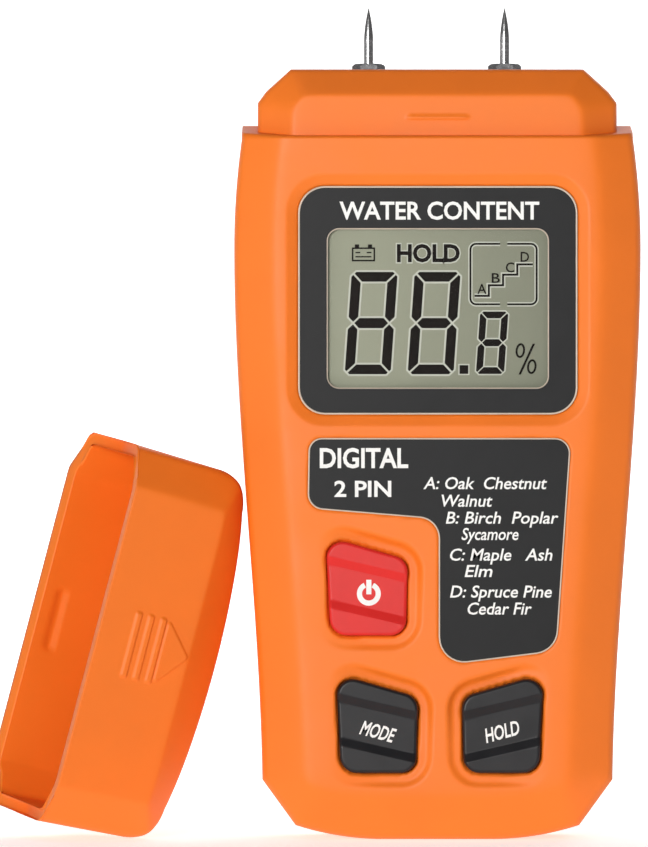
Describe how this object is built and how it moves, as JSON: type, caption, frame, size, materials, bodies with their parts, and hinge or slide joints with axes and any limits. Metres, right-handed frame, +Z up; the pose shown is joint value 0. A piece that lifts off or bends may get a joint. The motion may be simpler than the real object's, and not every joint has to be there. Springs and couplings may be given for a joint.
{
  "type": "moisture meter",
  "caption": "Handheld pin-type moisture meter standing upright, with display, press keys, electrode pins, battery door and a removable pin cap leaning beside it.",
  "frame": {"origin": "centre of the flat foot that the meter stands on, on the parting plane of its two case halves", "axes": "+Z up along the electrode pins, -Y out of the display, +X to the reader's right"},
  "size_m": [0.1083, 0.034, 0.1384],
  "materials": {
    "orange_shell": "satin moulded",
    "orange_cap": "satin moulded",
    "black_plate": "fine matt",
    "clear_window": "clear acrylic",
    "lcd": "reflective liquid crystal",
    "white_plastic": "moulded",
    "dark_rubber": "silicone",
    "board_green": "solder mask",
    "black_plastic": "moulded",
    "tan_chips": "ceramic",
    "red_key": "silicone rubber",
    "black_key": "silicone rubber",
    "switch_metal": "pressed",
    "battery_can": "printed steel jacket",
    "nickel": "plated",
    "red_wire": "insulated",
    "black_wire": "insulated",
    "pin_steel": "polished",
    "nut_chrome": "plated",
    "socket_brass": "turned",
    "screw_steel": "zinc plated"
  },
  "bodies": {
    "meter": {"front_housing": "orange_shell", "back_housing": "orange_shell", "display_bezel": "black_plate", "display_window": "clear_window", "lcd_glass": "lcd", "lcd_holder": "white_plastic", "zebra_strips": "dark_rubber", "main_board": "board_green", "controller_chip": "black_plastic", "board_passives": "tan_chips", "legend_plate": "black_plate", "power_switch": "switch_metal", "mode_switch": "switch_metal", "hold_switch": "switch_metal", "battery": "battery_can", "battery_terminals": "nickel", "battery_snap": "black_plastic", "snap_lead_red": "red_wire", "snap_lead_black": "black_wire", "electrode_pin_left": "pin_steel", "electrode_pin_right": "pin_steel", "pin_nut_left": "nut_chrome", "pin_nut_right": "nut_chrome", "pin_socket_left": "socket_brass", "pin_socket_right": "socket_brass", "solder_lug_left": "nickel", "solder_lug_right": "nickel", "pin_lead_left": "red_wire", "pin_lead_right": "red_wire", "case_screws": "screw_steel", "board_screws": "screw_steel"},
    "door": {"battery_door": "orange_shell"},
    "power": {"power_key": "red_key", "power_plunger": "white_plastic"},
    "mode": {"mode_key": "black_key", "mode_plunger": "white_plastic"},
    "hold": {"hold_key": "black_key", "hold_plunger": "white_plastic"},
    "pin_cap": {"cap": "orange_cap"}
  },
  "joints": [
    {"name": "cap_lift", "type": "slide", "parent": "meter", "child": "pin_cap", "axis": [-0.0797, 0, 0.9968], "range_m": [0, 0.15]},
    {"name": "door_tilt", "type": "hinge", "parent": "meter", "child": "door", "pos_m": [0, 0.013, 0.0125], "axis": [-1, 0, 0], "range_deg": [0, 60]},
    {"name": "power_press", "type": "slide", "parent": "meter", "child": "power", "axis": [0, 1, 0], "range_m": [0, 0.00035], "stiffness_N_per_m": 2500},
    {"name": "mode_press", "type": "slide", "parent": "meter", "child": "mode", "axis": [0, 1, 0], "range_m": [0, 0.00035], "stiffness_N_per_m": 2500},
    {"name": "hold_press", "type": "slide", "parent": "meter", "child": "hold", "axis": [0, 1, 0], "range_m": [0, 0.00035], "stiffness_N_per_m": 2500}
  ]
}
